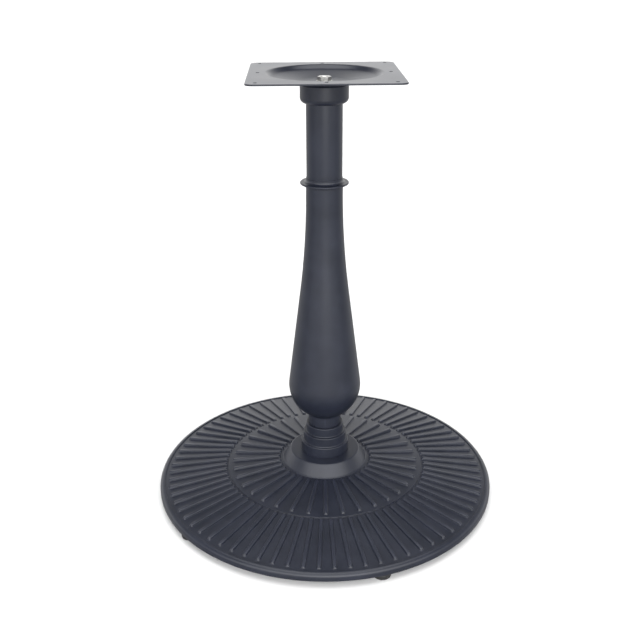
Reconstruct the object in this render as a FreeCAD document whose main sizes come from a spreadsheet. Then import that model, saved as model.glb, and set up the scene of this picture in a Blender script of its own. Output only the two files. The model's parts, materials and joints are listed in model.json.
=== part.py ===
import FreeCAD, Part
import Sketcher
import math
import os

# Pedestal table base: a ribbed cast floor disc on five levelling feet, a turned column in
# stacked pieces, and a pressed top plate, all held together by one tie rod on the axis.
# Millimetres, +Z up. The origin lies on the floor under the column's axis, and the top
# plate's edges run along X and Y.

SIZES = [
    ("overall_height", 720, "floor to the top plate's upper face"),
    ("base_radius", 292.5, "floor disc"),
    ("base_turn", -1.2, "degrees the disc is turned under the plate"),
    ("foot_gap", 12, "floor to the disc's lower rim"),
    ("rim_wall", 8.5, "thickness of the rim's standing wall"),
    ("rim_height", 12.9, "rim's crest over its lower edge"),
    ("rim_rounding", 7.5, "round between the rim's side and crest"),
    ("lip_width", 9, "rim's side to the lip's inner edge"),
    ("lip_rise", 1.3, "lip over the field beside it"),
    ("skin", 6.5, "wall of the disc"),
    ("step_radius", 171, "circle where the two fields meet"),
    ("step_height", 29.5, "inner field over the rim's lower edge, at the step"),
    ("step_drop", 1.5, "inner field over the outer field, at the step"),
    ("hub_foot_height", 39, "hub's foot over the rim's lower edge"),
    ("hub_ledge", 19, "hub's flat top outside the plinth"),
    ("hub_spread", 13, "hub's foot outside its flat top"),
    ("hub_top_height", 59.5, "hub's flat top over the rim's lower edge"),
    ("hub_wall", 8, "wall of the hub"),
    ("hub_foot_round", 4, "fillet at the hub's foot"),
    ("hub_top_round", 2.5, "round at the hub's top edge"),
    ("boss_radius", 22, "tie rod boss under the hub"),
    ("boss_face", 24, "boss's lower face over the rim's lower edge"),
    ("rib_width", 6, "raised ribs on the disc"),
    ("rib_rise", 3.4, "ribs over the field"),
    ("inner_ribs", 36, "count"),
    ("inner_rib_start", 6, "inner ribs' ends from the hub's foot"),
    ("inner_rib_end", 7, "inner ribs' ends from the step"),
    ("outer_ribs", 72, "count"),
    ("outer_rib_start", 3, "outer ribs' ends from the step"),
    ("outer_rib_end", 5.5, "outer ribs' ends from the lip"),
    ("rib_root", 2, "depth that a rib's foot reaches into the skin"),
    ("web_width", 7, "stiffening webs under the disc"),
    ("web_rim_face", 2.5, "web's lower edge over the rim's lower edge, at the rim"),
    ("foot_count", 5, "count"),
    ("foot_boss_wall", 5.45, "wall of the boss that a foot screws into"),
    ("foot_boss_merge", 0.5, "reach of that boss into the rim's wall"),
    ("foot_boss_height", 11, "boss from the rim's lower edge up into the skin"),
    ("pad_wall", 7.45, "foot pad round its socket"),
    ("pad_height", 9, "foot pad"),
    ("pad_round", 2.5, "pad's edges"),
    ("stem_radius", 4, "foot's threaded stem"),
    ("stem_reach", 10, "stem above the disc's lower rim"),
    ("stem_hex_step", 2, "stem's hexagon outside its thread, at the flats"),
    ("stem_neck_step", 0.5, "stem's neck in the pad's mouth, outside its thread"),
    ("stem_head_step", 2.5, "stem's head in the pad, outside its neck"),
    ("stem_head_height", 3, "stem's head"),
    ("stem_chamfer", 0.5, "stem's tip"),
    ("pad_floor", 3, "pad under the stem's head"),
    ("running_play", 0.05, "gap on each side where a part turns or slides"),
    ("plinth_step_top", 4.3, "plinth's highest ring outside the vase column's neck"),
    ("plinth_step_mid", 4.7, "plinth's middle ring outside the highest"),
    ("plinth_step_low", 4, "plinth's lowest ring outside the middle one"),
    ("plinth_low", 18.5, "height of the lowest ring"),
    ("plinth_mid", 17, "height of the middle ring"),
    ("plinth_top", 16.5, "height of the highest ring"),
    ("plinth_round", 1.5, "round of the rings' upper edges"),
    ("plinth_cove", 1.6, "fillet between a ring and the ledge that it stands on"),
    ("spigot_height", 8, "locating spigots between the stacked pieces"),
    ("spigot_wall", 6, "wall of the base's spigot and the plinth's spigot"),
    ("seat_play", 0.1, "gap on each side between a spigot and its bore"),
    ("vase_height", 422.5, "vase column from the plinth to the ring"),
    ("vase_wall", 6, "wall of the vase column"),
    ("neck_radius", 28, "vase column's foot"),
    ("neck_round", 4, "fillet between the neck and the bulb"),
    ("bulb_radius", 61.3, "widest part of the vase column"),
    ("bulb_centre", 74.5, "widest part over the vase column's foot"),
    ("vase_top_straight", 6.5, "upright stretch over the flare"),
    ("flare_half", 83.7, "half the flare: its top end to where the taper's line turns upright"),
    ("vase_top_step", 1, "vase column's top outside the tube"),
    ("vase_spigot_wall", 5.6, "wall of the vase column's spigot in the tube"),
    ("vase_land", 30, "length of that bore under the vase column's top"),
    ("ring_reach", 10.3, "ring's thin edge outside the tube"),
    ("ring_height", 14, "ring from the vase column to the tube"),
    ("ring_edge", 3, "thickness of the ring's edge"),
    ("ring_edge_height", 3.6, "ring's edge over the vase column's top"),
    ("ring_edge_round", 1.35, "round of that edge"),
    ("ring_neck_step", 0.6, "ring's neck outside the tube"),
    ("ring_fillet", 4.5, "fillet between the ring's neck and its edge"),
    ("ring_lower_fillet", 2.25, "fillet under the ring's edge"),
    ("tube_radius", 28.2, "upper tube"),
    ("tube_wall", 2.5, "upper tube"),
    ("tube_overlap", 12, "vase column's spigot inside the tube"),
    ("collar_wall", 9, "collar round the tube"),
    ("collar_height", 29, "collar under the plate"),
    ("collar_roof", 4, "collar's thickness over the tube's end"),
    ("collar_round_low", 8.5, "round of the collar's lower edge"),
    ("collar_round_top", 3, "round of the collar's upper edge"),
    ("plate_side", 230, "square top plate"),
    ("plate_thickness", 2.5, "pressed sheet"),
    ("plate_corner", 12, "radius of the plate's corners"),
    ("plate_edge_round", 0.8, "round along the plate's upper and lower edges"),
    ("dish_radius", 88, "plate's pressed dish at its rim"),
    ("dish_depth", 13.5, "dish's flat floor under the plate's upper face"),
    ("dish_floor_margin", 1.5, "dish's flat floor outside the collar"),
    ("dish_wall_run", 8, "dish's steep wall, inwards from its rim"),
    ("dish_wall_drop", 6, "dish's steep wall, down from its rim"),
    ("dish_bend", 8, "radius of the dish's bends"),
    ("screw_inset", 15, "screw holes from the plate's edge"),
    ("screw_hole_radius", 3, "screw holes"),
    ("rod_radius", 6, "tie rod"),
    ("rod_hole_play", 0.5, "gap on each side between the tie rod and the holes it passes"),
    ("rod_end_top", 0.5, "tie rod's end over the top nut"),
    ("rod_end_bottom", 2.5, "tie rod's end under the bottom nut"),
    ("rod_chamfer", 0.8, "tie rod's ends"),
    ("nut_wall", 3.5, "tie rod nuts outside the rod, at the flats"),
    ("top_nut_height", 6, "thin nut in the dish"),
    ("bottom_nut_height", 10, "nut under the disc"),
    ("nut_chamfer_angle", 30, "degrees"),
    ("washer_reach", 6, "flat washers outside the rod"),
    ("top_washer_thickness", 1.5, "flat washer in the dish"),
    ("bottom_washer_thickness", 2.5, "flat washer under the disc"),
    ("lock_washer_reach", 4.5, "split lock washer outside the rod"),
    ("lock_washer_thickness", 2.5, "split lock washer"),
    ("lock_washer_split", 8, "degrees left open"),
    ("thread_play", 0.05, "gap on each side between a nut and the rod"),
]

doc = FreeCAD.newDocument("pedestal_base")
sheet = doc.addObject("Spreadsheet::Sheet", "sizes")
for row, (alias, number, note) in enumerate(SIZES, start=1):
    sheet.set(f"A{row}", note)
    sheet.set(f"B{row}", str(number))
    sheet.setAlias(f"B{row}", alias)
doc.recompute()


def sized(text):
    """An expression over the sheet: each word that is an alias becomes that alias's cell."""
    words = {alias for alias, number, note in SIZES}
    out = []
    word = ""
    for letter in text + " ":
        if letter.isalnum() or letter == "_":
            word += letter
            continue
        out.append(f"sizes.{word}" if word in words else word)
        out.append(letter)
        word = ""
    return "(" + "".join(out).strip() + ")"


def number(expression):
    """The value of an expression over the sheet."""
    result = sheet.evalExpression(expression)
    return float(getattr(result, "Value", result))


# Heights over the floor that follow from the sheet.
HUB_TOP = sized("foot_gap + hub_top_height")
BOSS_FACE = sized("foot_gap + boss_face")
PLINTH_TOP = f"({HUB_TOP} + sizes.plinth_low + sizes.plinth_mid + sizes.plinth_top)"
VASE_TOP = f"({PLINTH_TOP} + sizes.vase_height)"
TUBE_FOOT = f"({VASE_TOP} + sizes.ring_height)"
DISH_FLOOR = sized("overall_height - dish_depth")
DISH_UNDERSIDE = sized("overall_height - dish_depth - plate_thickness")
COLLAR_FOOT = sized("overall_height - dish_depth - plate_thickness - collar_height")
TUBE_END = sized("overall_height - dish_depth - plate_thickness - collar_roof")
TOP_NUT_FOOT = sized("overall_height - dish_depth + top_washer_thickness")
BOTTOM_WASHER_FOOT = f"({BOSS_FACE} - sizes.bottom_washer_thickness)"
BOTTOM_LOCK_FOOT = f"({BOTTOM_WASHER_FOOT} - sizes.lock_washer_thickness)"
BOTTOM_NUT_FOOT = f"({BOTTOM_LOCK_FOOT} - sizes.bottom_nut_height)"
ROD_FOOT = f"({BOTTOM_NUT_FOOT} - sizes.rod_end_bottom)"
ROD_TOP = f"({TOP_NUT_FOOT} + sizes.top_nut_height + sizes.rod_end_top)"

# Radii from the column's axis.
TUBE_BORE = sized("tube_radius - tube_wall")
TUBE_SPIGOT = f"({TUBE_BORE} - sizes.seat_play)"
VASE_TOP_RADIUS = sized("tube_radius + vase_top_step")
RING_RADIUS = sized("tube_radius + ring_reach")
RING_NECK = sized("tube_radius + ring_neck_step")
COLLAR_BORE = sized("tube_radius + seat_play")
COLLAR_RADIUS = f"({COLLAR_BORE} + sizes.collar_wall)"
DISH_FLOOR_RADIUS = f"({COLLAR_RADIUS} + sizes.dish_floor_margin)"
NECK_BORE = sized("neck_radius - vase_wall")
NECK_SPIGOT = f"({NECK_BORE} - sizes.seat_play)"
PLINTH_HIGH = sized("neck_radius + plinth_step_top")
PLINTH_MID = f"({PLINTH_HIGH} + sizes.plinth_step_mid)"
PLINTH_LOW = f"({PLINTH_MID} + sizes.plinth_step_low)"
HUB_TOP_RADIUS = f"({PLINTH_LOW} + sizes.hub_ledge)"
HUB_FOOT_RADIUS = f"({HUB_TOP_RADIUS} + sizes.hub_spread)"
RIM_INSIDE = sized("base_radius - rim_wall")
LIP_RADIUS = sized("base_radius - lip_width")
ROD_HOLE = sized("rod_radius + rod_hole_play")
WASHER_RADIUS = sized("rod_radius + washer_reach")
LOCK_WASHER_RADIUS = sized("rod_radius + lock_washer_reach")
NUT_FLATS = sized("(rod_radius + nut_wall) * 2")

# Feet: radii from a foot's own axis, and the circle that the feet stand on.
FOOT_BORE = sized("stem_radius + running_play")
FOOT_BOSS = f"({FOOT_BORE} + sizes.foot_boss_wall)"
FOOT_CIRCLE = f"({RIM_INSIDE} - {FOOT_BOSS} + sizes.foot_boss_merge)"
STEM_NECK = sized("stem_radius + stem_neck_step")
STEM_HEAD = f"({STEM_NECK} + sizes.stem_head_step)"
STEM_HEX = sized("(stem_radius + stem_hex_step) * 2")
PAD_SOCKET = f"({STEM_HEAD} + sizes.running_play)"
PAD_RADIUS = f"({PAD_SOCKET} + sizes.pad_wall)"

# The vase column's taper leaves the bulb along the line from the flare's corner that touches
# the bulb, and the flare is the arc that turns that line upright.
FLARE_TOP = sized("vase_height - vase_top_straight")
CORNER_RISE = f"({FLARE_TOP} - sizes.flare_half - sizes.bulb_centre)"
CORNER_REACH = f"sqrt({CORNER_RISE} * {CORNER_RISE} + {VASE_TOP_RADIUS} * {VASE_TOP_RADIUS})"
TAPER = f"(atan({CORNER_RISE} / {VASE_TOP_RADIUS}) - acos(sizes.bulb_radius / {CORNER_REACH}))"
FLARE_RADIUS = f"(sizes.flare_half / tan({TAPER} / 2))"

# Lengths nearer to each other than this are the same length.
SAME = 1e-4


def new_body(label, foot="0"):
    """A body whose own origin stands at the height given."""
    body = doc.addObject("PartDesign::Body", label)
    body.Label = label
    body.setExpression(".Placement.Base.z", foot)
    return body


def origin_feature(body, role):
    return next(item for item in body.Origin.OriginFeatures if item.Role == role)


def arc_between(start, end, radius, turn):
    """The arc from start to end: turn is 1 where it runs anticlockwise, -1 clockwise."""
    chord = end - start
    middle = (start + end) * 0.5
    rise = math.sqrt(max(radius**2 - (chord.Length / 2) ** 2, 0))
    side = FreeCAD.Vector(-chord.y, chord.x, 0).normalize()
    centre = middle + side * (rise * turn)
    first, last = (start, end) if turn > 0 else (end, start)
    begin = math.atan2(first.y - centre.y, first.x - centre.x)
    finish = math.atan2(last.y - centre.y, last.x - centre.x)
    if finish < begin:
        finish += 2 * math.pi
    return Part.ArcOfCircle(Part.Circle(centre, FreeCAD.Vector(0, 0, 1), radius), begin, finish)


def bind_point(sketch, geometry, end, corner):
    """Holds one end of a line or arc at a corner, with both distances bound to the sheet."""
    for kind, axis, expression in (("DistanceX", -2, corner[0]), ("DistanceY", -1, corner[1])):
        distance = number(expression)
        if abs(distance) < SAME:
            sketch.addConstraint(Sketcher.Constraint("PointOnObject", geometry, end, axis))
            continue
        made = sketch.addConstraint(Sketcher.Constraint(kind, -1, 1, geometry, end, distance))
        sketch.setExpression(f"Constraints[{made}]", expression)


def outline(body, name, role, corners):
    """A sketch on one of the body's origin planes, closed through its corners.

    A corner is (across, up), or (across, up, radius, turn) where an arc of that radius leads
    on to the next corner. Sizes are expressions over the sheet.
    """
    sketch = body.newObject("Sketcher::SketchObject", name)
    sketch.AttachmentSupport = [(origin_feature(body, role), "")]
    sketch.MapMode = "FlatFace"
    points = [FreeCAD.Vector(number(corner[0]), number(corner[1]), 0) for corner in corners]
    ends = []
    for place, corner in enumerate(corners):
        start, stop = points[place], points[(place + 1) % len(points)]
        if len(corner) == 2:
            made = sketch.addGeometry(Part.LineSegment(start, stop), False)
            ends.append((made, 1, 2))
        else:
            made = sketch.addGeometry(arc_between(start, stop, number(corner[2]), corner[3]), False)
            ends.append((made, 1, 2) if corner[3] > 0 else (made, 2, 1))
    for place, (made, start, stop) in enumerate(ends):
        onward, onward_start, onward_stop = ends[(place + 1) % len(ends)]
        joint = Sketcher.Constraint("Coincident", made, stop, onward, onward_start)
        sketch.addConstraint(joint)
    for (made, start, stop), corner in zip(ends, corners):
        bind_point(sketch, made, start, corner)
        if len(corner) > 2:
            rule = Sketcher.Constraint("Radius", made, number(corner[2]))
            bound = sketch.addConstraint(rule)
            sketch.setExpression(f"Constraints[{bound}]", corner[2])
    return sketch


def circles(body, name, places, radius):
    """A sketch on the body's floor plane with one circle at each place."""
    sketch = body.newObject("Sketcher::SketchObject", name)
    sketch.AttachmentSupport = [(origin_feature(body, "XY_Plane"), "")]
    sketch.MapMode = "FlatFace"
    for place in places:
        centre = FreeCAD.Vector(number(place[0]), number(place[1]), 0)
        ring = Part.Circle(centre, FreeCAD.Vector(0, 0, 1), number(radius))
        made = sketch.addGeometry(ring, False)
        bind_point(sketch, made, 3, place)
        rule = sketch.addConstraint(Sketcher.Constraint("Radius", made, number(radius)))
        sketch.setExpression(f"Constraints[{rule}]", radius)
    return sketch


def revolve(body, name, sketch, kind="Revolution", angle="360"):
    """Turns an outline about the body's upright axis: a Revolution adds, a Groove cuts."""
    feature = body.newObject(f"PartDesign::{kind}", name)
    feature.Profile = sketch
    feature.ReferenceAxis = (sketch, ["V_Axis"])
    feature.setExpression("Angle", angle)
    return feature


def pad(body, name, sketch, length, symmetric=False):
    """Adds an outline's extrusion, upward or to both sides."""
    feature = body.newObject("PartDesign::Pad", name)
    feature.Profile = sketch
    feature.setExpression("Length", length)
    if symmetric:
        feature.SideType = "Symmetric"
    return feature


def cut_holes(body, name, sketch, depth, upward):
    """Cuts an outline's extrusion, and stops if it took nothing away."""
    doc.recompute()
    before = body.Shape.Volume
    feature = body.newObject("PartDesign::Pocket", name)
    feature.Profile = sketch
    feature.setExpression("Length", depth)
    feature.Reversed = upward
    doc.recompute()
    if not body.Shape.Volume < before:
        raise ValueError(f"{name} of {body.Label} cuts nothing")
    return feature


def spread(body, name, features, count):
    """Repeats features evenly about the body's upright axis."""
    feature = body.newObject("PartDesign::PolarPattern", name)
    feature.Originals = features
    feature.Axis = (origin_feature(body, "Z_Axis"), [""])
    feature.Angle = 360
    feature.setExpression("Occurrences", count)
    body.Tip = feature
    return feature


def round_circles(body, name, places, radius):
    """Rounds the circular edges that lie at each (radius, height) in the body's own frame."""
    doc.recompute()
    base = body.Tip
    wanted = [(number(across), number(up)) for across, up in places]
    edges = []
    for index, edge in enumerate(base.Shape.Edges, start=1):
        if not isinstance(edge.Curve, Part.Circle):
            continue
        centre = edge.Curve.Center
        for across, up in wanted:
            near = abs(edge.Curve.Radius - across) < SAME and abs(centre.z - up) < SAME
            if near and math.hypot(centre.x, centre.y) < SAME:
                edges.append(f"Edge{index}")
    if len(edges) < len(wanted):
        raise ValueError(f"{name} of {body.Label} finds {len(edges)} of {len(wanted)} edges")
    feature = body.newObject("PartDesign::Fillet", name)
    feature.Base = (base, edges)
    feature.setExpression("Radius", radius)
    return feature


def round_uprights(body, name, radius):
    """Rounds every straight edge that stands upright."""
    doc.recompute()
    base = body.Tip
    edges = []
    for index, edge in enumerate(base.Shape.Edges, start=1):
        if isinstance(edge.Curve, Part.Line) and abs(edge.Curve.Direction.z) > 1 - SAME:
            edges.append(f"Edge{index}")
    feature = body.newObject("PartDesign::Fillet", name)
    feature.Base = (base, edges)
    feature.setExpression("Radius", radius)
    return feature


# The two fields of the disc are cones: heights over the rim's lower edge at their ends.
FIELD_RIM = sized("rim_height - lip_rise")
STEP_LOW = sized("step_height - step_drop")
INNER_SLOPE = (
    f"((sizes.hub_foot_height - sizes.step_height) / (sizes.step_radius - {HUB_FOOT_RADIUS}))"
)
OUTER_SLOPE = f"(({STEP_LOW} - {FIELD_RIM}) / ({LIP_RADIUS} - sizes.step_radius))"


def inner_field(radius):
    return f"(sizes.hub_foot_height - ({radius} - {HUB_FOOT_RADIUS}) * {INNER_SLOPE})"


def outer_field(radius):
    return f"({STEP_LOW} - ({radius} - sizes.step_radius) * {OUTER_SLOPE})"


def rib_outline(body, name, start, end, field):
    """Side view of one rib: its foot lies in the skin and its crest follows the field."""
    foot, crest = "sizes.rib_root", "sizes.rib_rise"
    corners = [
        (start, f"({field(start)} - {foot})"),
        (end, f"({field(end)} - {foot})"),
        (end, f"({field(end)} + {crest})"),
        (start, f"({field(start)} + {crest})"),
    ]
    return outline(body, name, "XZ_Plane", corners)


def make_base_casting():
    """The floor disc: hub, two ribbed fields and a rim over a hollow, webbed underside."""
    body = new_body("base_casting", "sizes.foot_gap")
    body.Placement.Rotation = FreeCAD.Rotation(FreeCAD.Vector(0, 0, 1), number("sizes.base_turn"))
    body.setExpression(".Placement.Rotation.Angle", "sizes.base_turn * 1 deg")
    hub_top = "sizes.hub_top_height"
    boss_face = "sizes.boss_face"
    spigot_top = f"({hub_top} + sizes.spigot_height)"
    spigot_bore = f"({NECK_SPIGOT} - sizes.spigot_wall)"
    hub_inside = f"({HUB_TOP_RADIUS} - sizes.hub_wall)"
    hub_foot_inside = f"({HUB_FOOT_RADIUS} - sizes.hub_wall)"
    hub_ceiling = f"({hub_top} - sizes.hub_wall)"
    step = "sizes.step_radius"
    corners = [
        (ROD_HOLE, boss_face),
        ("sizes.boss_radius", boss_face),
        ("sizes.boss_radius", hub_ceiling),
        (hub_inside, hub_ceiling),
        (hub_foot_inside, f"({inner_field(hub_foot_inside)} - sizes.skin)"),
        (step, f"({STEP_LOW} - sizes.skin)"),
        (RIM_INSIDE, f"({outer_field(RIM_INSIDE)} - sizes.skin)"),
        (RIM_INSIDE, "0"),
        ("sizes.base_radius", "0"),
        ("sizes.base_radius", "sizes.rim_height"),
        (LIP_RADIUS, "sizes.rim_height"),
        (LIP_RADIUS, FIELD_RIM),
        (step, STEP_LOW),
        (step, "sizes.step_height"),
        (HUB_FOOT_RADIUS, "sizes.hub_foot_height"),
        (HUB_TOP_RADIUS, hub_top),
        (NECK_SPIGOT, hub_top),
        (NECK_SPIGOT, spigot_top),
        (spigot_bore, spigot_top),
        (spigot_bore, hub_top),
        (ROD_HOLE, hub_top),
    ]
    revolve(body, "disc", outline(body, "disc_outline", "XZ_Plane", corners))
    round_circles(body, "rim_round", [("sizes.base_radius", "sizes.rim_height")], "sizes.rim_rounding")
    round_circles(body, "hub_top_round", [(HUB_TOP_RADIUS, hub_top)], "sizes.hub_top_round")
    hub_foot = [(HUB_FOOT_RADIUS, "sizes.hub_foot_height")]
    round_circles(body, "hub_foot_round", hub_foot, "sizes.hub_foot_round")

    foot_place = [(FOOT_CIRCLE, "0")]
    boss_ring = circles(body, "foot_boss_ring", foot_place, FOOT_BOSS)
    boss = pad(body, "foot_boss", boss_ring, "sizes.foot_boss_height")
    web_start = sized("boss_radius - web_width / 2")
    web_end = f"({FOOT_CIRCLE} - {FOOT_BOSS} / 2)"
    web_corners = [
        (web_start, boss_face),
        (web_end, "sizes.web_rim_face"),
        (web_end, f"({outer_field(web_end)} - sizes.skin / 2)"),
        (step, f"({STEP_LOW} - sizes.skin / 2)"),
        (hub_foot_inside, f"({inner_field(hub_foot_inside)} - sizes.skin / 2)"),
        (hub_inside, f"({hub_ceiling} + sizes.hub_wall / 2)"),
        (web_start, f"({hub_ceiling} + sizes.hub_wall / 2)"),
    ]
    web = pad(
        body, "web", outline(body, "web_outline", "XZ_Plane", web_corners), "sizes.web_width", True
    )
    spread(body, "underside_pattern", [boss, web], "sizes.foot_count")
    bore_depth = sized("stem_reach + running_play")
    bore_ring = circles(body, "foot_bore_ring", foot_place, FOOT_BORE)
    bore = cut_holes(body, "foot_bore", bore_ring, bore_depth, True)
    spread(body, "foot_bore_pattern", [bore], "sizes.foot_count")

    start, end = f"({HUB_FOOT_RADIUS} + sizes.inner_rib_start)", sized("step_radius - inner_rib_end")
    inner = rib_outline(body, "inner_rib_outline", start, end, inner_field)
    inner_rib = pad(body, "inner_rib", inner, "sizes.rib_width", True)
    spread(body, "inner_rib_pattern", [inner_rib], "sizes.inner_ribs")
    start, end = sized("step_radius + outer_rib_start"), f"({LIP_RADIUS} - sizes.outer_rib_end)"
    outer = rib_outline(body, "outer_rib_outline", start, end, outer_field)
    half_pitch = number("180 / sizes.outer_ribs")
    turned = FreeCAD.Rotation(FreeCAD.Vector(0, 1, 0), half_pitch)
    outer.AttachmentOffset = FreeCAD.Placement(FreeCAD.Vector(), turned)
    outer.setExpression(".AttachmentOffset.Rotation.Angle", "180 deg / sizes.outer_ribs")
    outer_rib = pad(body, "outer_rib", outer, "sizes.rib_width", True)
    spread(body, "outer_rib_pattern", [outer_rib], "sizes.outer_ribs")
    return body


def make_column_plinth():
    """Three stepped rings that stand on the hub, with a spigot for the vase column."""
    body = new_body("column_plinth", HUB_TOP)
    low = "sizes.plinth_low"
    mid = sized("plinth_low + plinth_mid")
    top = sized("plinth_low + plinth_mid + plinth_top")
    spigot_top = f"({top} + sizes.spigot_height)"
    bore = f"({NECK_SPIGOT} - sizes.spigot_wall)"
    socket_top = sized("spigot_height + seat_play")
    corners = [
        (NECK_BORE, "0"),
        (PLINTH_LOW, "0"),
        (PLINTH_LOW, low),
        (PLINTH_MID, low),
        (PLINTH_MID, mid),
        (PLINTH_HIGH, mid),
        (PLINTH_HIGH, top),
        (NECK_SPIGOT, top),
        (NECK_SPIGOT, spigot_top),
        (bore, spigot_top),
        (bore, socket_top),
        (NECK_BORE, socket_top),
    ]
    revolve(body, "rings", outline(body, "rings_outline", "XZ_Plane", corners))
    edges = [
        (PLINTH_LOW, low),
        (PLINTH_MID, mid),
        (PLINTH_HIGH, top),
    ]
    round_circles(body, "rings_round", edges, "sizes.plinth_round")
    coves = [(PLINTH_MID, low), (PLINTH_HIGH, mid)]
    round_circles(body, "rings_cove", coves, "sizes.plinth_cove")
    return body


def vase_side(wall):
    """The vase's side from neck to top, set in by a wall: corners and arcs, foot upwards."""
    neck = f"(sizes.neck_radius - {wall})"
    bulb = f"(sizes.bulb_radius - {wall})"
    flare = f"({FLARE_RADIUS} + {wall})"
    top = f"({VASE_TOP_RADIUS} - {wall})"
    centre = "sizes.bulb_centre"
    flare_foot = (f"({top} + {flare} * (1 - cos({TAPER})))", f"({FLARE_TOP} - {flare} * sin({TAPER}))")
    return [
        (neck, f"({centre} - sqrt({bulb} * {bulb} - {neck} * {neck}))", bulb, 1),
        (f"({bulb} * cos({TAPER}))", f"({centre} + {bulb} * sin({TAPER}))"),
        flare_foot + (flare, -1),
        (top, FLARE_TOP),
    ]


def reversed_side(side):
    """The same corners from top to foot, with each arc led from its other end."""
    arcs = [corner[2:] for corner in side]
    corners = [corner[:2] for corner in side][::-1]
    leading = [tuple()] * len(side)
    for place, arc in enumerate(arcs[:-1]):
        if arc:
            leading[len(side) - 2 - place] = (arc[0], -arc[1])
    return [corner + arc for corner, arc in zip(corners, leading)]


def make_vase_column():
    """The hollow vase-shaped column, with a bored neck and a spigot at its top."""
    body = new_body("vase_column", PLINTH_TOP)
    height = "sizes.vase_height"
    bore = f"({TUBE_SPIGOT} - sizes.vase_spigot_wall)"
    spigot_top = sized("vase_height + ring_height + tube_overlap")
    land = sized("vase_height - vase_land")
    corners = [(NECK_BORE, "0"), ("sizes.neck_radius", "0")]
    corners += vase_side("0")
    corners += [
        (VASE_TOP_RADIUS, height),
        (TUBE_SPIGOT, height),
        (TUBE_SPIGOT, spigot_top),
        (bore, spigot_top),
        (bore, land),
    ]
    inside = reversed_side(vase_side("sizes.vase_wall"))
    corners += [(inside[0][0], f"({land} - sizes.vase_wall)")]
    corners += inside[1:]
    revolve(body, "vase", outline(body, "vase_outline", "XZ_Plane", corners))
    neck_top = vase_side("0")[0]
    round_circles(body, "neck_round", [neck_top[:2]], "sizes.neck_round")
    return body


def make_bead_ring():
    """The thin-edged ring between the vase column and the upper tube."""
    body = new_body("bead_ring", VASE_TOP)
    low = "sizes.ring_edge_height"
    high = sized("ring_edge_height + ring_edge")
    corners = [
        (TUBE_BORE, "0"),
        (VASE_TOP_RADIUS, "0"),
        (VASE_TOP_RADIUS, low),
        (RING_RADIUS, low),
        (RING_RADIUS, high),
        (RING_NECK, high),
        (RING_NECK, "sizes.ring_height"),
        (TUBE_BORE, "sizes.ring_height"),
    ]
    revolve(body, "ring", outline(body, "ring_outline", "XZ_Plane", corners))
    round_circles(body, "ring_upper_fillet", [(RING_NECK, high)], "sizes.ring_fillet")
    round_circles(body, "ring_lower_fillet", [(VASE_TOP_RADIUS, low)], "sizes.ring_lower_fillet")
    edges = [(RING_RADIUS, low), (RING_RADIUS, high)]
    round_circles(body, "ring_edge_round", edges, "sizes.ring_edge_round")
    return body


def make_upper_tube():
    """The straight tube from the ring up into the collar."""
    body = new_body("upper_tube", TUBE_FOOT)
    end = f"({TUBE_END} - {TUBE_FOOT})"
    corners = [
        (TUBE_BORE, "0"),
        ("sizes.tube_radius", "0"),
        ("sizes.tube_radius", end),
        (TUBE_BORE, end),
    ]
    revolve(body, "tube", outline(body, "tube_outline", "XZ_Plane", corners))
    return body


def make_top_collar():
    """The cup over the tube's end, which the plate's dish stands on."""
    body = new_body("top_collar", COLLAR_FOOT)
    ceiling = sized("collar_height - collar_roof")
    corners = [
        (COLLAR_BORE, "0"),
        (f"({COLLAR_RADIUS} - sizes.collar_round_low)", "0", "sizes.collar_round_low", 1),
        (COLLAR_RADIUS, "sizes.collar_round_low"),
        (COLLAR_RADIUS, "sizes.collar_height"),
        (ROD_HOLE, "sizes.collar_height"),
        (ROD_HOLE, ceiling),
        (COLLAR_BORE, ceiling),
    ]
    revolve(body, "cup", outline(body, "cup_outline", "XZ_Plane", corners))
    edge = [(COLLAR_RADIUS, "sizes.collar_height")]
    round_circles(body, "cup_round", edge, "sizes.collar_round_top")
    return body


def make_top_plate():
    """The square plate, with a pressed dish for the tie rod's nut and eight screw holes."""
    body = new_body("top_plate", DISH_UNDERSIDE)
    thickness = "sizes.plate_thickness"
    under = "sizes.dish_depth"
    top = sized("dish_depth + plate_thickness")
    half = sized("plate_side / 2")
    square = [(f"(-{half})", f"(-{half})"), (half, f"(-{half})"), (half, half), (f"(-{half})", half)]
    sheet_outline = outline(body, "sheet_outline", "XY_Plane", square)
    sheet_outline.setExpression(".AttachmentOffset.Base.z", under)
    pad(body, "sheet_metal", sheet_outline, thickness)
    round_uprights(body, "corners", "sizes.plate_corner")
    opening = circles(body, "dish_opening", [("0", "0")], "sizes.dish_radius")
    cut_holes(body, "dish_cut", opening, top, True)

    # From its rim the dish falls steeply, then gently to the flat floor round the tie rod.
    rim = "sizes.dish_radius"
    wall_foot = sized("dish_radius - dish_wall_run")
    wall_foot_under = sized("dish_depth - dish_wall_drop")
    wall_foot_top = f"({wall_foot_under} + {thickness})"
    under_bends = [(rim, under), (wall_foot, wall_foot_under), (DISH_FLOOR_RADIUS, "0")]
    top_bends = [(DISH_FLOOR_RADIUS, thickness), (wall_foot, wall_foot_top), (rim, top)]
    corners = [(ROD_HOLE, thickness), (ROD_HOLE, "0")]
    corners += under_bends[::-1]
    corners += top_bends[::-1]
    revolve(body, "dish", outline(body, "dish_outline", "XZ_Plane", corners))
    round_circles(body, "dish_bends", under_bends + top_bends, "sizes.dish_bend")
    reach = sized("plate_side / 2 - screw_inset")
    steps = ["0", reach, f"(-{reach})"]
    places = [(across, along) for across in steps for along in steps if (across, along) != ("0", "0")]
    holes = circles(body, "screw_holes_outline", places, "sizes.screw_hole_radius")
    cut_holes(body, "screw_holes", holes, top, True)
    round_plate_edges(body)
    return body


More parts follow.
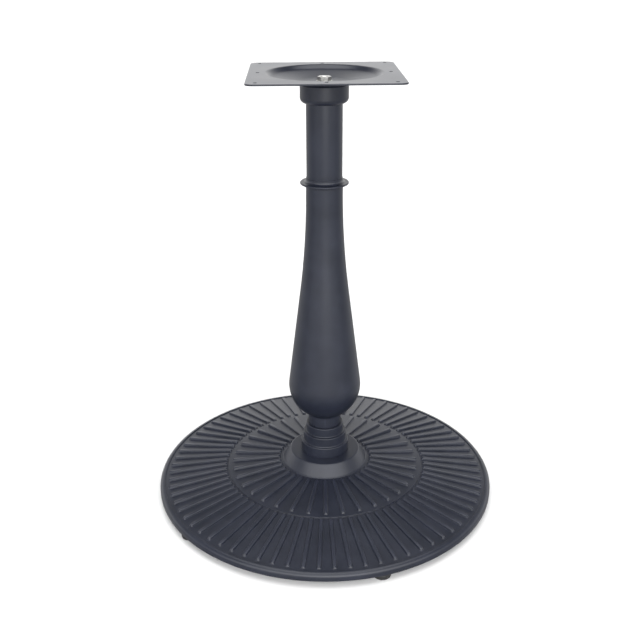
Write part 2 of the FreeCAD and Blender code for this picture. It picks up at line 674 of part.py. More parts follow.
def round_plate_edges(body):
    """Rounds the long edges of the plate's four sides, above and below, with their corners."""
    base = body.Tip
    half = number("sizes.plate_side / 2")
    edges = []
    for index, edge in enumerate(base.Shape.Edges, start=1):
        box = edge.BoundBox
        outside = max(abs(box.XMin), abs(box.XMax), abs(box.YMin), abs(box.YMax)) > half - SAME
        if outside and box.ZLength < SAME:
            edges.append(f"Edge{index}")
    feature = body.newObject("PartDesign::Fillet", "edge_round")
    feature.Base = (base, edges)
    feature.setExpression("Radius", "sizes.plate_edge_round")


def make_tie_rod():
    """The rod that clamps the whole stack."""
    body = new_body("tie_rod", ROD_FOOT)
    length = f"({ROD_TOP} - {ROD_FOOT})"
    tip = sized("rod_radius - rod_chamfer")
    corners = [
        ("0", "0"),
        (tip, "0"),
        ("sizes.rod_radius", "sizes.rod_chamfer"),
        ("sizes.rod_radius", f"({length} - sizes.rod_chamfer)"),
        (tip, length),
        ("0", length),
    ]
    revolve(body, "rod", outline(body, "rod_outline", "XZ_Plane", corners))
    return body


def make_washer(label, foot, outside, thickness, angle="360"):
    """A ring round the tie rod, closed or split."""
    body = new_body(label, foot)
    corners = [
        (ROD_HOLE, "0"),
        (outside, "0"),
        (outside, thickness),
        (ROD_HOLE, thickness),
    ]
    revolve(body, "washer", outline(body, "washer_outline", "XZ_Plane", corners), angle=angle)
    return body


def hexagon(flats):
    """Corners of a hexagon of that width across flats."""
    reach = f"({flats} / sqrt(3))"
    angles = [60 * side for side in range(6)]
    return [(f"({reach} * cos({angle} deg))", f"({reach} * sin({angle} deg))") for angle in angles]


def make_nut(label, foot, height):
    """A hexagon nut, chamfered above and below, with a plain bore for its thread."""
    body = new_body(label, foot)
    blank = outline(body, "hexagon", "XY_Plane", hexagon(NUT_FLATS))
    pad(body, "blank", blank, height)
    bore = circles(body, "bore_outline", [("0", "0")], sized("rod_radius + thread_play"))
    cut_holes(body, "bore", bore, height, True)
    inner = f"({NUT_FLATS} / 2)"
    outer = NUT_FLATS
    fall = f"(({outer} - {inner}) * tan(sizes.nut_chamfer_angle * 1 deg))"
    upper = [(inner, height), (outer, f"({height} - {fall})"), (outer, height)]
    lower = [(inner, "0"), (outer, "0"), (outer, fall)]
    revolve(body, "upper_chamfer", outline(body, "upper_chamfer_outline", "XZ_Plane", upper), "Groove")
    revolve(body, "lower_chamfer", outline(body, "lower_chamfer_outline", "XZ_Plane", lower), "Groove")
    return body


def place_foot(body, index):
    """Puts a foot's body on the circle of feet and turns it to face outwards."""
    angle = f"((sizes.base_turn + {index} * 360 / sizes.foot_count) * 1 deg)"
    body.Placement.Rotation = FreeCAD.Rotation(FreeCAD.Vector(0, 0, 1), 90)
    body.setExpression(".Placement.Rotation.Angle", angle)
    body.setExpression(".Placement.Base.x", f"({FOOT_CIRCLE} * cos({angle}))")
    body.setExpression(".Placement.Base.y", f"({FOOT_CIRCLE} * sin({angle}))")


def make_foot_pad(index):
    """A foot's round pad, with a socket that holds the stem's head."""
    body = new_body(f"foot_pad_{index + 1}")
    floor = "sizes.pad_floor"
    ceiling = sized("pad_floor + stem_head_height + running_play")
    mouth = f"({STEM_NECK} + sizes.running_play)"
    corners = [
        ("0", "0"),
        (PAD_RADIUS, "0"),
        (PAD_RADIUS, "sizes.pad_height"),
        (mouth, "sizes.pad_height"),
        (mouth, ceiling),
        (PAD_SOCKET, ceiling),
        (PAD_SOCKET, floor),
        ("0", floor),
    ]
    revolve(body, "pad", outline(body, "pad_outline", "XZ_Plane", corners))
    edges = [(PAD_RADIUS, "0"), (PAD_RADIUS, "sizes.pad_height")]
    round_circles(body, "pad_round", edges, "sizes.pad_round")
    place_foot(body, index)
    return body


def make_foot_stem(index):
    """A foot's steel stem: head in the pad, neck, hexagon and threaded shank."""
    body = new_body(f"foot_stem_{index + 1}")
    head_top = sized("pad_floor + stem_head_height")
    hex_foot = sized("pad_height + running_play")
    shank_top = sized("foot_gap + stem_reach")
    tip = sized("stem_radius - stem_chamfer")
    corners = [
        ("0", "sizes.pad_floor"),
        (STEM_HEAD, "sizes.pad_floor"),
        (STEM_HEAD, head_top),
        (STEM_NECK, head_top),
        (STEM_NECK, hex_foot),
        ("sizes.stem_radius", hex_foot),
        ("sizes.stem_radius", f"({shank_top} - sizes.stem_chamfer)"),
        (tip, shank_top),
        ("0", shank_top),
    ]
    revolve(body, "stem", outline(body, "stem_outline", "XZ_Plane", corners))
    flats = outline(body, "hexagon", "XY_Plane", hexagon(STEM_HEX))
    flats.setExpression(".AttachmentOffset.Base.z", hex_foot)
    pad(body, "hexagon_pad", flats, f"(sizes.foot_gap - {hex_foot})")
    place_foot(body, index)
    return body


def make_all():
    parts = [
        make_base_casting(),
        make_column_plinth(),
        make_vase_column(),
        make_bead_ring(),
        make_upper_tube(),
        make_top_collar(),
        make_top_plate(),
        make_tie_rod(),
        make_washer("top_washer", DISH_FLOOR, WASHER_RADIUS, "sizes.top_washer_thickness"),
        make_nut("top_nut", TOP_NUT_FOOT, "sizes.top_nut_height"),
        make_washer(
            "bottom_washer", BOTTOM_WASHER_FOOT, WASHER_RADIUS, "sizes.bottom_washer_thickness"
        ),
        make_washer(
            "bottom_lock_washer",
            BOTTOM_LOCK_FOOT,
            LOCK_WASHER_RADIUS,
            "sizes.lock_washer_thickness",
            sized("360 - lock_washer_split"),
        ),
        make_nut("bottom_nut", BOTTOM_NUT_FOOT, "sizes.bottom_nut_height"),
    ]
    for index in range(int(number("sizes.foot_count"))):
        parts.append(make_foot_pad(index))
        parts.append(make_foot_stem(index))
    return parts


def check_all(parts):
    """Stops if any object failed to compute or any part's shape isn't one sound solid."""
    doc.recompute()
    for item in doc.Objects:
        if {"Invalid", "Error"} & set(item.State):
            raise ValueError(f"{item.Label} failed: {item.State}")
    for body in parts:
        shape = body.Shape
        if shape.isNull() or not shape.isValid() or len(shape.Solids) != 1:
            raise ValueError(f"{body.Label} isn't one sound solid")


parts = make_all()
check_all(parts)
os.makedirs("parts", exist_ok=True)
for body in parts:
    body.Shape.exportStep(os.path.join("parts", body.Label + ".step"))
    print(body.Label, round(body.Shape.Volume), "mm3")
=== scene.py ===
import json
import math

import bpy
from mathutils import Matrix, Vector


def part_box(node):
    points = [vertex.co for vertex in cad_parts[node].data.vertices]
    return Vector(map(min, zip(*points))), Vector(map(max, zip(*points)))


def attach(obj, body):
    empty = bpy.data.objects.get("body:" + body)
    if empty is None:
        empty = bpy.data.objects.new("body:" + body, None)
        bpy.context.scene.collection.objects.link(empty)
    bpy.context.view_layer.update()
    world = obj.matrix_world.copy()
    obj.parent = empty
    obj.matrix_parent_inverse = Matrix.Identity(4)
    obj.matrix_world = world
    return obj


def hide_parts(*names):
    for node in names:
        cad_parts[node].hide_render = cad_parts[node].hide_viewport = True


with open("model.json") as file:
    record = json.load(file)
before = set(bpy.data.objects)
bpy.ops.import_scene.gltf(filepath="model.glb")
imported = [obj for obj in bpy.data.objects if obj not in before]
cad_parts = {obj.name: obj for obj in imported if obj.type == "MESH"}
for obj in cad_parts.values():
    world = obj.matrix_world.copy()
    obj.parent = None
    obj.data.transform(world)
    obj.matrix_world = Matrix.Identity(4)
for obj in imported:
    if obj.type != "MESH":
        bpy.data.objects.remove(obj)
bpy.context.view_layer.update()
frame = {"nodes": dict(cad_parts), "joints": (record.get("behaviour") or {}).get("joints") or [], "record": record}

# A cast pedestal table base. Blender holds metres; the shapes below are worked out in
# millimetres, in the CAD frame: +Z up, origin on the floor under the column's axis.
MM = 0.001


def span(node):
    """A CAD node's lowest and highest corners, in millimetres."""
    low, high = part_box(node)
    return low / MM, high / MM


def in_scene(name, data):
    """A new object of the scene that holds some data."""
    made = bpy.data.objects.new(name, data)
    bpy.context.scene.collection.objects.link(made)
    return made


# ---------------------------------------------------------------- shader nodes


def feed(socket, value):
    """Links another node's output to a socket, or sets the socket's own value."""
    if isinstance(value, bpy.types.NodeSocket):
        socket.id_data.links.new(value, socket)
    else:
        socket.default_value = value


def add(tree, kind, settings=(), **inputs):
    """A new node with its settings, and with its inputs fed by name."""
    node = tree.nodes.new(kind)
    for key, value in dict(settings).items():
        setattr(node, key, value)
    for key, value in inputs.items():
        feed(node.inputs[key.replace("_", " ")], value)
    return node


def ramp(tree, factor, stops):
    """A colour ramp over a factor, from (place, colour) stops."""
    node = add(tree, "ShaderNodeValToRGB", Fac=factor)
    elements = node.color_ramp.elements
    for element, (place, colour) in zip(elements, (stops[0], stops[-1])):
        element.position = place
        element.color = (*colour, 1)
    for place, colour in stops[1:-1]:
        elements.new(place).color = (*colour, 1)
    return node.outputs["Color"]


def level_ramp(tree, factor, stops):
    """A grey ramp over a factor, from (place, level) stops."""
    return ramp(tree, factor, [(place, (level, level, level)) for place, level in stops])


def noise(tree, place, scale, detail):
    """Smooth noise over a place, as a factor."""
    return add(tree, "ShaderNodeTexNoise", Vector=place, Scale=scale, Detail=detail).outputs["Fac"]


def between(tree, factor, low, high):
    """A value that a factor moves from low to high."""
    return add(tree, "ShaderNodeMapRange", Value=factor, To_Min=low, To_Max=high).outputs["Result"]


def bump(tree, height, distance, **onto):
    """A normal bumped by a height, onto the surface's own normal or another."""
    node = add(tree, "ShaderNodeBump", Strength=1.0, Distance=distance, Height=height, **onto)
    return node.outputs["Normal"]


def combined(tree, operation, *values):
    """Factors and numbers, put together by a maths operation."""
    node = add(tree, "ShaderNodeMath", {"operation": operation})
    for socket, value in zip(node.inputs, values):
        feed(socket, value)
    return node.outputs["Value"]


# ---------------------------------------------------------------- materials


def new_material(name):
    """A material, its node tree, its shader and the place on the object that its noise uses."""
    material = bpy.data.materials.new(name)
    material.use_nodes = True
    tree = material.node_tree
    place = add(tree, "ShaderNodeTexCoord").outputs["Object"]
    return material, tree, tree.nodes["Principled BSDF"], place


def powder_coat(name, deep, pale, grain, waviness, roughness):
    """Satin charcoal powder coat: fine orange peel, faint clouds and a painted highlight that makes convex edges
    paler.
    """
    material, tree, shader, place = new_material(name)
    clouds = noise(tree, place, scale=26.0, detail=4.0)
    coat = ramp(tree, clouds, [(0.32, deep), (0.7, pale)])
    # Painted highlight: convex edges, found by pointiness, are painted paler in place of the light they catch.
    edge = add(tree, "ShaderNodeNewGeometry").outputs["Pointiness"]
    edge_highlight_share = level_ramp(tree, edge, [(0.52, 0.0), (0.6, 0.5)])
    edge_highlight_gain = 1.55
    edge_highlight = (*(edge_highlight_gain * channel for channel in pale), 1)
    colour = add(tree, "ShaderNodeMix", {"data_type": "RGBA"}, Factor=edge_highlight_share, A=coat, B=edge_highlight)
    feed(shader.inputs["Base Color"], colour.outputs["Result"])
    feed(shader.inputs["Roughness"], between(tree, clouds, *roughness))
    swell = noise(tree, place, scale=48.0, detail=2.0)
    peel = noise(tree, place, scale=1100.0, detail=3.0)
    broad = bump(tree, swell, waviness)
    feed(shader.inputs["Normal"], bump(tree, peel, grain, Normal=broad))
    feed(shader.inputs["IOR"], 1.5)
    return material


def zinc_plate(name):
    """Bright zinc plating with faint clouds and a fine satin grain."""
    deep, pale, grain = (0.50, 0.49, 0.46), (0.74, 0.74, 0.72), 0.006 * MM
    material, tree, shader, place = new_material(name)
    clouds = noise(tree, place, scale=160.0, detail=3.0)
    feed(shader.inputs["Base Color"], ramp(tree, clouds, [(0.3, deep), (0.7, pale)]))
    feed(shader.inputs["Roughness"], between(tree, clouds, low=0.22, high=0.38))
    feed(shader.inputs["Normal"], bump(tree, noise(tree, place, scale=1800.0, detail=2.0), grain))
    feed(shader.inputs["Metallic"], 1.0)
    return material


def moulded_plastic(name):
    """Black matt plastic with a fine moulded grain."""
    deep, pale, grain = (0.013, 0.013, 0.014), (0.022, 0.022, 0.023), 0.02 * MM
    material, tree, shader, place = new_material(name)
    clouds = noise(tree, place, scale=90.0, detail=3.0)
    feed(shader.inputs["Base Color"], ramp(tree, clouds, [(0.3, deep), (0.7, pale)]))
    feed(shader.inputs["Roughness"], between(tree, clouds, low=0.5, high=0.66))
    feed(shader.inputs["Normal"], bump(tree, noise(tree, place, scale=1500.0, detail=2.0), grain))
    return material


def pale_floor(name):
    """Pale seamless studio floor."""
    material, tree, shader, place = new_material(name)
    clouds = noise(tree, place, scale=1.2, detail=2.0)
    feed(shader.inputs["Base Color"], level_ramp(tree, clouds, [(0.2, 0.90), (0.8, 0.92)]))
    feed(shader.inputs["Roughness"], 0.9)
    return material


FINISHES = {
    "coated_iron": powder_coat(
        "coated_iron",
        deep=(0.0105, 0.0130, 0.0225),
        pale=(0.0165, 0.0195, 0.0325),
        grain=0.030 * MM,
        waviness=0.03 * MM,
        roughness=(0.32, 0.40),
    ),
    "coated_steel": powder_coat(
        "coated_steel",
        deep=(0.0115, 0.0140, 0.0235),
        pale=(0.0165, 0.0195, 0.0315),
        grain=0.014 * MM,
        waviness=0.02 * MM,
        roughness=(0.28, 0.34),
    ),
    "plated_steel": zinc_plate("plated_steel"),
    "foot_plastic": moulded_plastic("foot_plastic"),
}


# ---------------------------------------------------------------- camera, floor and light

# Places and reaches in metres, and angles in radians: heading from +Y towards +X, and pitch
# down. The lens and the sensor are in millimetres.
CAMERA_PLACE = (-0.0441, -1.3864, 0.9141)
CAMERA_HEADING = 0.02028
CAMERA_PITCH = 0.4018
CAMERA_ROLL = -0.0056
CAMERA_LENS = 51.6
CAMERA_SENSOR = 36
CAMERA_REACH = 200
FLOOR_REACH = 60

SUN_STRENGTH = 2.1
SUN_SPREAD = math.radians(60)
FILL_PLACE = (0.3, -3.0, 0.75)
FILL_TARGET = (0, 0, 0.4)
FILL_SIZE = (1.9, 0.9)
FILL_POWER = 15

# The studio's light as (place, level) stops. A height goes from 0, straight down, to 1,
# straight up. A depth goes from 0, in front of the object, to 1, behind it.
SKY = [
    (0.0, 0.55),
    (0.40, 0.55),
    (0.46, 0.85),
    (0.51, 1.30),
    (0.55, 1.75),
    (0.62, 1.45),
    (0.68, 1.10),
    (0.74, 0.75),
    (0.80, 0.14),
    (0.92, 0.05),
    (1.0, 0.05),
]
SIDE_DIM = [(0.24, 1.0), (0.36, 0.6), (0.54, 0.6), (0.66, 1.0)]
WALL_HEIGHT = [(0.56, 0.0), (0.62, 1.0), (0.86, 1.0), (0.93, 0.0)]
WALL_DEPTH = [(0.18, 1.0), (0.24, 0.8), (0.33, 0.0), (1.0, 0.0)]
WALL_LEVEL = 2.3


def make_camera():
    """The camera, from its place, heading, pitch and roll."""
    across, along = math.sin(CAMERA_HEADING), math.cos(CAMERA_HEADING)
    flat = math.cos(CAMERA_PITCH)
    ahead = Vector((across * flat, along * flat, -math.sin(CAMERA_PITCH)))
    level = Vector((along, -across, 0))
    over = level.cross(ahead)
    right = math.cos(CAMERA_ROLL) * level + math.sin(CAMERA_ROLL) * over
    up = -math.sin(CAMERA_ROLL) * level + math.cos(CAMERA_ROLL) * over
    data = bpy.data.cameras.new("camera")
    data.lens = CAMERA_LENS
    data.sensor_width = CAMERA_SENSOR
    data.clip_end = CAMERA_REACH
    camera = in_scene("camera", data)
    aim = Matrix((right, up, -ahead)).transposed().to_4x4()
    camera.matrix_world = Matrix.Translation(CAMERA_PLACE) @ aim
    bpy.context.scene.camera = camera


def make_floor():
    """A wide pale floor that reflections don't show."""
    mesh = bpy.data.meshes.new("studio_floor")
    corners = [(-1, -1), (1, -1), (1, 1), (-1, 1)]
    mesh.from_pydata([(x * FLOOR_REACH, y * FLOOR_REACH, 0) for x, y in corners], [], [(0, 1, 2, 3)])
    mesh.materials.append(pale_floor("studio_floor"))
    floor = in_scene("studio_floor", mesh)
    floor.visible_glossy = False


def soft_box(name, place, target, size, power):
    """An area light, so wide and so high, that faces a target."""
    data = bpy.data.lights.new(name, "AREA")
    data.shape = "RECTANGLE"
    data.size, data.size_y = size
    data.energy = power
    aim = (Vector(target) - Vector(place)).to_track_quat("-Z", "Y").to_matrix().to_4x4()
    in_scene(name, data).matrix_world = Matrix.Translation(place) @ aim


def make_light():
    """A studio: bright round the horizon, dark overhead, with a soft wall in front."""
    world = bpy.data.worlds.new("studio")
    bpy.context.scene.world = world
    world.use_nodes = True
    tree = world.node_tree
    direction = add(tree, "ShaderNodeTexCoord").outputs["Generated"]
    split = add(tree, "ShaderNodeSeparateXYZ", Vector=direction)
    # A direction's parts run from -1 to 1, and the ramps from 0 to 1.
    height = combined(tree, "MULTIPLY_ADD", split.outputs["Z"], 0.5, 0.5)
    depth = combined(tree, "MULTIPLY_ADD", split.outputs["Y"], 0.5, 0.5)
    sky, side_dim = level_ramp(tree, height, SKY), level_ramp(tree, depth, SIDE_DIM)
    around = combined(tree, "MULTIPLY", sky, side_dim)
    band, facing = level_ramp(tree, height, WALL_HEIGHT), level_ramp(tree, depth, WALL_DEPTH)
    wall = combined(tree, "MULTIPLY", combined(tree, "MULTIPLY", band, facing), WALL_LEVEL)
    background = tree.nodes["Background"]
    feed(background.inputs["Color"], combined(tree, "ADD", around, wall))
    feed(background.inputs["Strength"], 1.0)
    sun = bpy.data.lights.new("overhead", "SUN")
    sun.energy = SUN_STRENGTH
    sun.angle = SUN_SPREAD
    in_scene("overhead", sun)
    soft_box("front_fill", FILL_PLACE, FILL_TARGET, FILL_SIZE, FILL_POWER)


# ---------------------------------------------------------------- outlines and meshes

SHARP_ANGLE = math.radians(38)
ON_AXIS = 1e-6
# Degrees between the points of a rounded edge, where it's seen and where it's hidden.
SEEN_STEP = 15.0
HIDDEN_STEP = 30.0


def arc(centre, radius, start, end, step):
    """Points along an arc between two angles in degrees, at most step degrees apart."""
    count = max(2, math.ceil(abs(end - start) / step) + 1)
    angles = [math.radians(start + (end - start) * k / (count - 1)) for k in range(count)]
    return [(centre[0] + radius * math.cos(a), centre[1] + radius * math.sin(a)) for a in angles]


def rounded(corners, step=SEEN_STEP):
    """An open outline through its corners: a corner (across, up, radius) becomes an arc."""
    points = []
    for place, corner in enumerate(corners):
        here = Vector(corner[:2])
        if len(corner) == 2 or place in (0, len(corners) - 1):
            points.append(tuple(here))
            continue
        back = (Vector(corners[place - 1][:2]) - here).normalized()
        onward = (Vector(corners[place + 1][:2]) - here).normalized()
        half = back.angle(onward) / 2
        centre = here + (back + onward).normalized() * (corner[2] / math.sin(half))
        first = here + back * (corner[2] / math.tan(half)) - centre
        last = here + onward * (corner[2] / math.tan(half)) - centre
        start = math.degrees(math.atan2(first.y, first.x))
        turn = math.degrees(math.atan2(last.y, last.x)) - start
        turn = (turn + 180) % 360 - 180
        points += arc(centre, corner[2], start, start + turn, step)
    return points


def turned(outline, segments, centre=(0.0, 0.0)):
    """Points and faces of a closed (across, up) outline turned about an upright axis."""
    points, faces, rings = [], [], []
    for across, up in outline:
        count = 1 if across < ON_AXIS else segments
        rings.append([len(points) + k for k in range(count)])
        for k in range(count):
            angle = 2 * math.pi * k / segments
            x = centre[0] + across * math.cos(angle)
            y = centre[1] + across * math.sin(angle)
            points.append((x, y, up))
    for place, ring in enumerate(rings):
        onward = rings[(place + 1) % len(rings)]
        if len(ring) == 1 and len(onward) == 1:
            continue
        for k in range(segments):
            after = (k + 1) % segments
            corners = [ring[k % len(ring)], ring[after % len(ring)]]
            corners += [onward[after % len(onward)], onward[k % len(onward)]]
            faces.append(tuple(dict.fromkeys(corners)))
    return points, faces


def joined(shells):
    """Several (points, faces) shells as one."""
    points, faces = [], []
    for shell_points, shell_faces in shells:
        start = len(points)
        points += shell_points
        faces += [tuple(index + start for index in face) for face in shell_faces]
    return points, faces


def piece(name, shell, node_names, body, slot_name):
    """A shown mesh from a shell's points in millimetres and its faces, in place of CAD nodes."""
    points, faces = shell
    mesh = bpy.data.meshes.new(name)
    mesh.from_pydata([Vector(point) * MM for point in points], [], faces)
    mesh.materials.append(FINISHES[slot_name])
    mesh.shade_smooth()
    mesh.set_sharp_from_angle(angle=SHARP_ANGLE)
    mesh.validate()
    made = in_scene(name, mesh)
    made.modifiers.new("weighted", "WEIGHTED_NORMAL").keep_sharp = True
    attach(made, body)
    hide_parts(*node_names)


# ---------------------------------------------------------------- the floor disc

# Radii and heights over the rim's lower edge, in millimetres, as the casting is drawn. The
# rim's lower edge stands RIM_LOW over the floor.
RIM_LOW = 12.0
RIM_WALL = 8.5
RIM_HEIGHT = 12.9
LIP_WIDTH = 9.0
LIP_RISE = 1.3
SKIN = 6.5
STEP_RADIUS = 171.0
STEP_HEIGHT = 29.5
STEP_DROP = 1.5
HUB_FOOT = (73.0, 39.0)
HUB_TOP = (60.0, 59.5)
HUB_WALL = 8.0
HUB_INSIDE = HUB_TOP[0] - HUB_WALL
HUB_FOOT_INSIDE = HUB_FOOT[0] - HUB_WALL
# The flat seat under the plinth, where the seen rows of points give way to the hidden ones.
SEAT_SEEN = 52.0
SEAT_HIDDEN = 42.0
BOSS_RADIUS = 22.0
BOSS_FACE = 24.0
ROD_HOLE = 6.5
SPIGOT_RADIUS = 21.9
SPIGOT_BORE = 15.9
SPIGOT_RISE = 8.0
WEB_WIDTH = 7.0
WEB_END_FACE = 2.5
FOOT_BOSS = 9.5
FOOT_BOSS_GAP = 0.2
FOOT_BORE = 4.05
FOOT_BORE_DEPTH = 10.05
FOOT_BOSS_DEPTH = 11.0

# Radii of the casting's edges and inner corners.
CAST_EDGE = 0.5
LIP_EDGE = 0.4
STEP_EDGE = 0.6
WALL_EDGE = 0.8
BOSS_EDGE = 1.2
WEB_EDGE = 1.6
HUB_EDGE = 2.5
RIM_EDGE = 7.5
RIM_CORNER = 2.0
HUB_CORNER = 4.0
HUB_FOOT_CORNER = 5.0
STEP_CORNER = 6.0

# A rib's side: distance from its middle line and share of its rise, from foot to crest.
RIB_SIDE = [(4.0, 0.0), (3.5, 0.07), (3.2, 0.3), (2.9, 0.8), (2.4, 0.97), (0.0, 1.0)]
RIB_RISE = 3.4
RIB_HALF = 3.0
RIB_FOOT = RIB_SIDE[0][0]
RIB_SKIRT = RIB_FOOT - RIB_HALF
INNER_SPAN = (79.0, 164.0)
OUTER_SPAN = (174.0, 278.0)
INNER_RIBS = 36
SECTOR = 360.0 / INNER_RIBS
# Columns of points in a sector, which holds one inner rib and two outer ones. Hidden rows
# have a point only at every so many columns.
SECTOR_COLUMNS = 24
HIDDEN_EVERY = 4
OFFSETS = [-side[0] for side in RIB_SIDE] + [side[0] for side in RIB_SIDE[-2::-1]]
ROW_GAP = 0.05

base_low, base_high = span("base_casting")
base_radius = (base_high.x - base_low.x) / 2
feet = [Vector(joint["pos_m"]) / MM for joint in frame["joints"] if joint["name"].endswith("_screw")]
base_turn = math.atan2(feet[0].y, feet[0].x)
foot_circle = feet[0].xy.length


def rib_share(distance):
    """Share of a rib's rise at a distance from its middle line."""
    for (far, low), (near, high) in zip(RIB_SIDE, RIB_SIDE[1:]):
        if distance >= near:
            share = min(max((far - distance) / (far - near), 0), 1)
            return low + (high - low) * share
    return 1.0


def rib_height(radius, offset, ends):
    """A rib's height where its middle line runs from one radius to another, with round ends."""
    beyond = max(ends[0] + RIB_HALF - radius, radius - ends[1] + RIB_HALF, 0)
    return RIB_RISE * rib_share(math.hypot(offset, beyond))


def inner_column(column, radius):
    """Angle and offset from the rib of a column of the inner field, in one sector."""
    reach = max(radius, INNER_SPAN[0] - RIB_SKIRT)
    first = (SECTOR_COLUMNS - len(OFFSETS) + 1) // 2
    last = first + len(OFFSETS) - 1
    foot = math.degrees(math.asin(RIB_FOOT / reach))
    if column < first:
        return -SECTOR / 2 + (SECTOR / 2 - foot) * column / first, None
    if column > last:
        return foot + (SECTOR / 2 - foot) * (column - last) / (SECTOR_COLUMNS - last), None
    offset = OFFSETS[column - first]
    return math.degrees(math.asin(offset / reach)), offset


def outer_column(column, radius):
    """Angle and offset from the rib of a column of the outer field, in one sector."""
    reach = min(max(radius, OUTER_SPAN[0] - RIB_SKIRT), OUTER_SPAN[1] + RIB_SKIRT)
    if column in (0, SECTOR_COLUMNS // 2):
        return column * SECTOR / SECTOR_COLUMNS - SECTOR / 2, None
    side = 1 if column > SECTOR_COLUMNS // 2 else -1
    offset = OFFSETS[(column - 1) % (SECTOR_COLUMNS // 2)]
    return side * SECTOR / 4 + math.degrees(math.asin(offset / reach)), offset


def disc_point(column, radius, height):
    """A point of the disc, raised by the rib that it lies on."""
    sector, local = divmod(column, SECTOR_COLUMNS)
    inner, inner_offset = inner_column(local, radius)
    outer, outer_offset = outer_column(local, radius)
    low, high = INNER_SPAN[1] + RIB_SKIRT, OUTER_SPAN[0] - RIB_SKIRT
    share = min(max((radius - low) / (high - low), 0), 1)
    share = share * share * (3 - 2 * share)
    angle = math.radians(sector * SECTOR + inner + (outer - inner) * share) + base_turn
    if radius < low and inner_offset is not None:
        height += rib_height(radius, inner_offset, INNER_SPAN)
    if radius > high and outer_offset is not None:
        height += rib_height(radius, outer_offset, OUTER_SPAN)
    return radius * math.cos(angle), radius * math.sin(angle), height + RIM_LOW


def outer_field(radius):
    """Height of the outer field, between the step and the lip."""
    low = RIM_HEIGHT - LIP_RISE
    high = STEP_HEIGHT - STEP_DROP
    share = (radius - STEP_RADIUS) / (base_radius - LIP_WIDTH - STEP_RADIUS)
    return high + (low - high) * share


def with_rows(outline, radii):
    """An outline with a point added at each radius that its straight stretches pass."""
    points = [outline[0]]
    for (near, low), (far, high) in zip(outline, outline[1:]):
        for radius in sorted(radii):
            if near + ROW_GAP < radius < far - ROW_GAP:
                points.append((radius, low + (high - low) * (radius - near) / (far - near)))
        points.append((far, high))
    return points


def rib_rows(ends, stretches):
    """Radii of the rows that a field's ribs need: close at their ends, wide between."""
    near = [ends[0] + RIB_HALF - side[0] for side in RIB_SIDE]
    far = [ends[1] - RIB_HALF + side[0] for side in RIB_SIDE]
    length = far[-1] - near[-1]
    return near + [near[-1] + length * k / stretches for k in range(1, stretches)] + far


def disc_top():
    """The seen outline of the casting, from the seat under the plinth out to the rim."""
    lip = base_radius - LIP_WIDTH
    corners = [
        (SEAT_SEEN, HUB_TOP[1]),
        (*HUB_TOP, HUB_EDGE),
        (*HUB_FOOT, HUB_CORNER),
        (STEP_RADIUS, STEP_HEIGHT, STEP_EDGE),
        (STEP_RADIUS, STEP_HEIGHT - STEP_DROP, CAST_EDGE),
        (lip, outer_field(lip), CAST_EDGE),
        (lip, RIM_HEIGHT, LIP_EDGE),
        (base_radius, RIM_HEIGHT, RIM_EDGE),
        (base_radius, 0.0, CAST_EDGE),
        (base_radius - 2 * CAST_EDGE, 0.0),
    ]
    rows = rib_rows(INNER_SPAN, stretches=4) + rib_rows(OUTER_SPAN, stretches=5)
    return with_rows(rounded(corners), rows)


def disc_under():
    """The hidden outline of the casting, from the rim in to the boss and up over the spigot."""
    rim_inside = base_radius - RIM_WALL
    ceiling = HUB_TOP[1] - HUB_WALL
    spigot_top = HUB_TOP[1] + SPIGOT_RISE
    corners = [
        (base_radius - RIM_WALL / 2, 0.0),
        (rim_inside, 0.0, WALL_EDGE),
        (rim_inside, outer_field(rim_inside) - SKIN, RIM_CORNER),
        (STEP_RADIUS, STEP_HEIGHT - STEP_DROP - SKIN, STEP_CORNER),
        (HUB_FOOT_INSIDE, HUB_FOOT[1] - SKIN, HUB_FOOT_CORNER),
        (HUB_INSIDE, ceiling, HUB_CORNER),
        (BOSS_RADIUS, ceiling, HUB_CORNER),
        (BOSS_RADIUS, BOSS_FACE, BOSS_EDGE),
        (ROD_HOLE, BOSS_FACE, CAST_EDGE),
        (ROD_HOLE, HUB_TOP[1], CAST_EDGE),
        (SPIGOT_BORE, HUB_TOP[1], CAST_EDGE),
        (SPIGOT_BORE, spigot_top, CAST_EDGE),
        (SPIGOT_RADIUS, spigot_top, WALL_EDGE),
        (SPIGOT_RADIUS, HUB_TOP[1], CAST_EDGE),
        (SEAT_HIDDEN, HUB_TOP[1]),
    ]
    return rounded(corners, HIDDEN_STEP)


def disc_shell():
    """The turned casting: fine rows where the ribs are, coarse ones inside and beneath."""
    columns = INNER_RIBS * SECTOR_COLUMNS
    points, faces, rings = [], [], []
    for rows, every in ((disc_top(), 1), (disc_under(), HIDDEN_EVERY)):
        for radius, height in rows:
            ring = range(len(points), len(points) + columns // every)
            points += [disc_point(column, radius, height) for column in range(0, columns, every)]
            rings.append(ring)
    for place, ring in enumerate(rings):
        onward = rings[(place + 1) % len(rings)]
        wide = max(1, len(ring) // len(onward))
        narrow = max(1, len(onward) // len(ring))
        for k in range(min(len(ring), len(onward))):
            near = [ring[(k * wide + step) % len(ring)] for step in range(wide + 1)]
            far = [onward[(k * narrow + step) % len(onward)] for step in range(narrow + 1)]
            faces.append(tuple(near[::-1] + far))
    return points, faces


